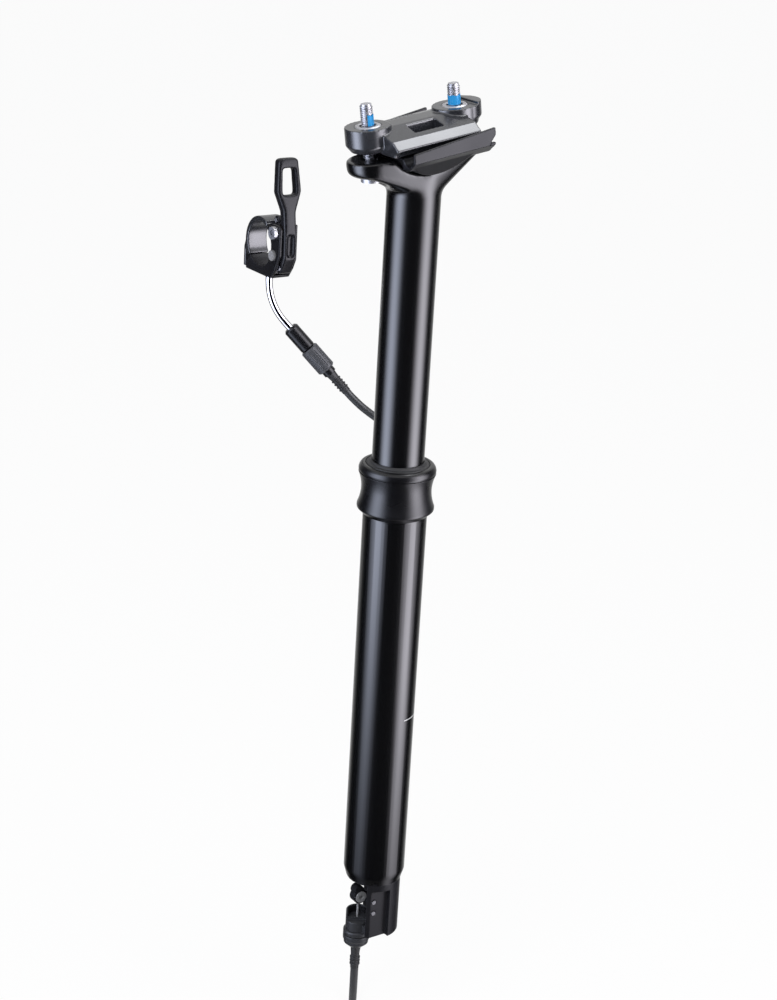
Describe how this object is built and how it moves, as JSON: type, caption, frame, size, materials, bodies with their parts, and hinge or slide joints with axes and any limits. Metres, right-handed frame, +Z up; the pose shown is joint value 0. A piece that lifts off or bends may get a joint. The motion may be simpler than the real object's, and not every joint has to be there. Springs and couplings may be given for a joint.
{
  "type": "dropper seatpost",
  "caption": "Dropper seatpost: telescoping round tubes with a collar, a tilting two-bolt saddle rail clamp, a cable release in the foot and a bar-mounted thumb remote on its cable.",
  "frame": {"origin": "on the axis of the post, just under the collar", "axes": "+Z up the post, +X toward the rear of the saddle, Y across the saddle rails"},
  "size_m": [0.0809, 0.1471, 0.4887],
  "materials": {
    "black_gloss": "gloss black anodised",
    "black_satin": "satin black anodised",
    "grey_metal": "dark grey anodised",
    "steel": "bright",
    "chrome": "polished",
    "bearing": "plain",
    "rubber": "matte",
    "housing": "satin"
  },
  "bodies": {
    "base": {"lower_tube": "black_gloss", "collar": "black_satin", "collar_ring": "black_satin", "wiper_seal": "rubber", "upper_bushing": "bearing", "piston_rod": "steel", "piston": "grey_metal", "piston_ring": "rubber", "foot_body": "black_satin", "release_pivot_pin": "steel", "cable_stop": "grey_metal", "stop_rivets": "steel", "ferrule_nut": "grey_metal", "ferrule_boot": "rubber", "remote_bracket": "black_satin", "bar_strap": "black_satin", "strap_hinge_pin": "steel", "strap_screw": "steel", "lever_pivot_bolt": "steel", "lever_stop_pin": "steel", "noodle": "chrome", "adjuster_sleeve": "steel", "adjuster_collar": "black_satin", "adjuster_boot": "rubber", "housing_lower": "housing", "housing_hank": "housing", "housing_upper": "housing", "hank_tie": "rubber"},
    "upper_post": {"upper_tube": "black_gloss", "lower_bushing": "bearing", "anti_rotation_keys": "bearing", "gas_cylinder": "steel", "cylinder_cap": "grey_metal", "cylinder_plug": "grey_metal", "clamp_bolts": "steel", "bolt_washers": "steel"},
    "cradle": {"saddle_cradle": "grey_metal"},
    "clamp_top": {"upper_clamp": "grey_metal", "clamp_nuts": "steel"},
    "bar_lever": {"remote_lever": "black_satin", "lever_bush": "bearing", "cable_nipple": "steel"},
    "release": {"release_lever": "black_satin"},
    "anchor": {"cable_anchor": "steel", "anchor_screw": "steel", "inner_wire_lower": "steel"},
    "valve": {"valve_pin": "steel"},
    "knob": {"adjuster_knob": "grey_metal"}
  },
  "joints": [
    {"name": "post_slide", "type": "slide", "parent": "base", "child": "upper_post", "axis": [0, 0, 1], "range_m": [-0.125, 0], "stiffness_N_per_m": 300, "springref_m": 0.6},
    {"name": "clamp_tilt", "type": "hinge", "parent": "upper_post", "child": "cradle", "pos_m": [-0.0035, 0, 0.191], "axis": [0, 1, 0], "range_deg": [-5, 5]},
    {"name": "clamp_lift", "type": "slide", "parent": "cradle", "child": "clamp_top", "axis": [-0.1564, 0, 0.9877], "range_m": [0, 0.004]},
    {"name": "remote_push", "type": "hinge", "parent": "base", "child": "bar_lever", "pos_m": [-0.01396, 0.08763, 0.12185], "axis": [-1, 0, 0], "range_deg": [0, 12], "stiffness_Nm_per_rad": 0.6, "springref_deg": -17.19},
    {"name": "release_swing", "type": "hinge", "parent": "base", "child": "release", "pos_m": [-0.00251, 0, -0.20597], "axis": [0, -1, 0], "range_deg": [0, 36.5]},
    {"name": "anchor_turn", "type": "hinge", "parent": "release", "child": "anchor", "pos_m": [-0.0085, 0, -0.204], "axis": [0, 1, 0], "range_deg": [0, 36.5]},
    {"name": "valve_lift", "type": "slide", "parent": "base", "child": "valve", "axis": [0, 0, 1], "range_m": [0, 0.0014], "stiffness_N_per_m": 300, "springref_m": -0.01},
    {"name": "knob_turn", "type": "hinge", "parent": "base", "child": "knob", "pos_m": [-0.00941, 0.0925, 0.0752], "axis": [0.5639, -0.3948, -0.7254], "continuous": true}
  ],
  "couplings": [
    {"joint": "release_swing", "follows": "remote_push", "ratio": 3.0333},
    {"joint": "anchor_turn", "follows": "remote_push", "ratio": 3.0333}
  ]
}
